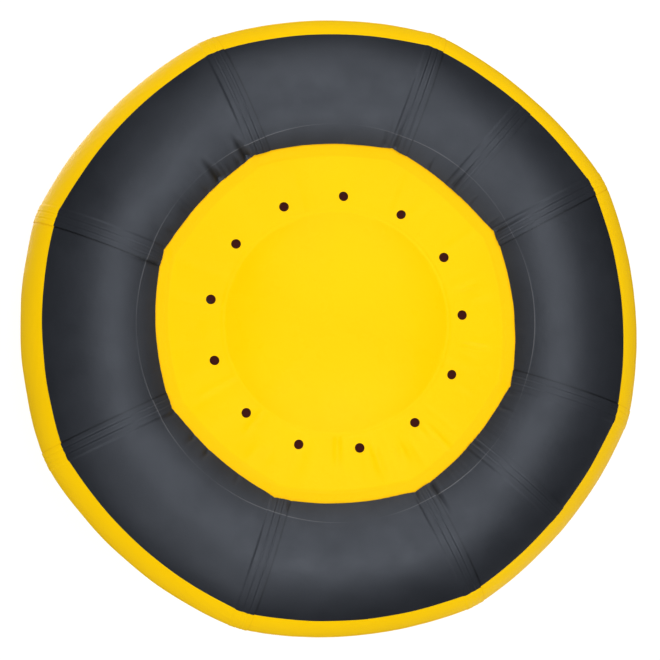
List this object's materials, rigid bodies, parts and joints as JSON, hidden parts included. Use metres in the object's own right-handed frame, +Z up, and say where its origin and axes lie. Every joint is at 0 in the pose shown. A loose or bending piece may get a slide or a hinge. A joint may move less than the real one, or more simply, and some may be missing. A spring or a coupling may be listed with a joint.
{
  "type": "towable tube",
  "caption": "Round inflatable water tube for towing, welded from PVC panels, with a padded floor, carry handles, a tow ring and a spring valve.",
  "frame": {"origin": "centre of the ring, on the surface that its underside rests on", "axes": "+Z up through the seat, +X forward through the tow ring, +Y to the rider's left"},
  "size_m": [1.2121, 1.2121, 0.3937],
  "materials": {
    "black_pvc": "satin",
    "yellow_pvc": "satin",
    "foam": "matte",
    "black_fabric": "matte",
    "webbing": "matte",
    "grip_rubber": "matte",
    "stainless": "satin",
    "spring_steel": "satin",
    "valve_plastic": "satin",
    "valve_soft": "satin",
    "valve_seal_rubber": "matte"
  },
  "bodies": {
    "hull": {"bottom_panel_front": "black_pvc", "bottom_panel_front_left_a": "black_pvc", "bottom_panel_front_left_b": "black_pvc", "bottom_panel_left": "black_pvc", "bottom_panel_rear_left": "black_pvc", "bottom_panel_rear": "black_pvc", "bottom_panel_rear_right": "black_pvc", "bottom_panel_right": "black_pvc", "bottom_panel_front_right_a": "black_pvc", "bottom_panel_front_right_b": "black_pvc", "side_panel_front": "yellow_pvc", "side_panel_front_left": "yellow_pvc", "side_panel_left": "yellow_pvc", "side_panel_rear_left": "yellow_pvc", "side_panel_rear": "yellow_pvc", "side_panel_rear_right": "yellow_pvc", "side_panel_right": "yellow_pvc", "side_panel_front_right": "yellow_pvc", "top_panel_front": "yellow_pvc", "top_panel_front_left": "yellow_pvc", "top_panel_left": "yellow_pvc", "top_panel_rear_left": "yellow_pvc", "top_panel_rear": "yellow_pvc", "top_panel_rear_right": "yellow_pvc", "top_panel_right": "yellow_pvc", "top_panel_front_right": "yellow_pvc", "inner_panel_front": "yellow_pvc", "inner_panel_front_left": "yellow_pvc", "inner_panel_left": "yellow_pvc", "inner_panel_rear_left": "yellow_pvc", "inner_panel_rear": "yellow_pvc", "inner_panel_rear_right": "yellow_pvc", "inner_panel_right": "yellow_pvc", "inner_panel_front_right": "yellow_pvc", "floor_sheet": "yellow_pvc", "seat_foam_pad": "foam", "seat_cover": "black_fabric", "handle_patch_front_left": "black_pvc", "handle_patch_rear_left": "black_pvc", "handle_patch_rear_right": "black_pvc", "handle_patch_front_right": "black_pvc", "tow_patch": "black_pvc", "tow_webbing": "webbing", "valve_body": "valve_plastic", "valve_back_nut": "valve_plastic", "valve_spring": "spring_steel", "valve_cap_tether": "valve_soft"},
    "handle_front_left": {"handle_strap_front_left": "webbing", "handle_grip_front_left": "grip_rubber"},
    "handle_rear_left": {"handle_strap_rear_left": "webbing", "handle_grip_rear_left": "grip_rubber"},
    "handle_rear_right": {"handle_strap_rear_right": "webbing", "handle_grip_rear_right": "grip_rubber"},
    "handle_front_right": {"handle_strap_front_right": "webbing", "handle_grip_front_right": "grip_rubber"},
    "tow_ring": {"tow_ring": "stainless"},
    "valve_plunger": {"valve_plunger": "valve_plastic", "valve_seal": "valve_seal_rubber"},
    "valve_cap": {"valve_cap": "valve_soft"}
  },
  "joints": [
    {"name": "handle_front_left_flop", "type": "hinge", "parent": "hull", "child": "handle_front_left", "pos_m": [0.3192, 0.30718, 0.3462], "axis": [-0.6934, 0.7206, 0], "range_deg": [-60, 60]},
    {"name": "handle_rear_left_flop", "type": "hinge", "parent": "hull", "child": "handle_rear_left", "pos_m": [-0.3105, 0.31597, 0.3462], "axis": [-0.7133, -0.7009, 0], "range_deg": [-60, 60]},
    {"name": "handle_rear_right_flop", "type": "hinge", "parent": "hull", "child": "handle_rear_right", "pos_m": [-0.30354, -0.32267, 0.3462], "axis": [0.7284, -0.6852, 0], "range_deg": [-60, 60]},
    {"name": "handle_front_right_flop", "type": "hinge", "parent": "hull", "child": "handle_front_right", "pos_m": [0.3105, -0.31597, 0.3462], "axis": [0.7133, 0.7009, 0], "range_deg": [-60, 60]},
    {"name": "tow_ring_swing", "type": "hinge", "parent": "hull", "child": "tow_ring", "pos_m": [0.52902, -0.01478, 0.31525], "axis": [-0.0279, -0.9996, 0], "range_deg": [-36, 130]},
    {"name": "valve_plunger_press", "type": "slide", "parent": "hull", "child": "valve_plunger", "axis": [0, 0, -1], "range_m": [0, 0.004], "stiffness_N_per_m": 250, "springref_m": -0.002, "deforming": ["valve_spring"]},
    {"name": "valve_cap_flip", "type": "hinge", "parent": "hull", "child": "valve_cap", "pos_m": [-0.46193, -0.00806, 0.3507], "axis": [0.0175, -0.9998, 0], "range_deg": [0, 120]}
  ]
}
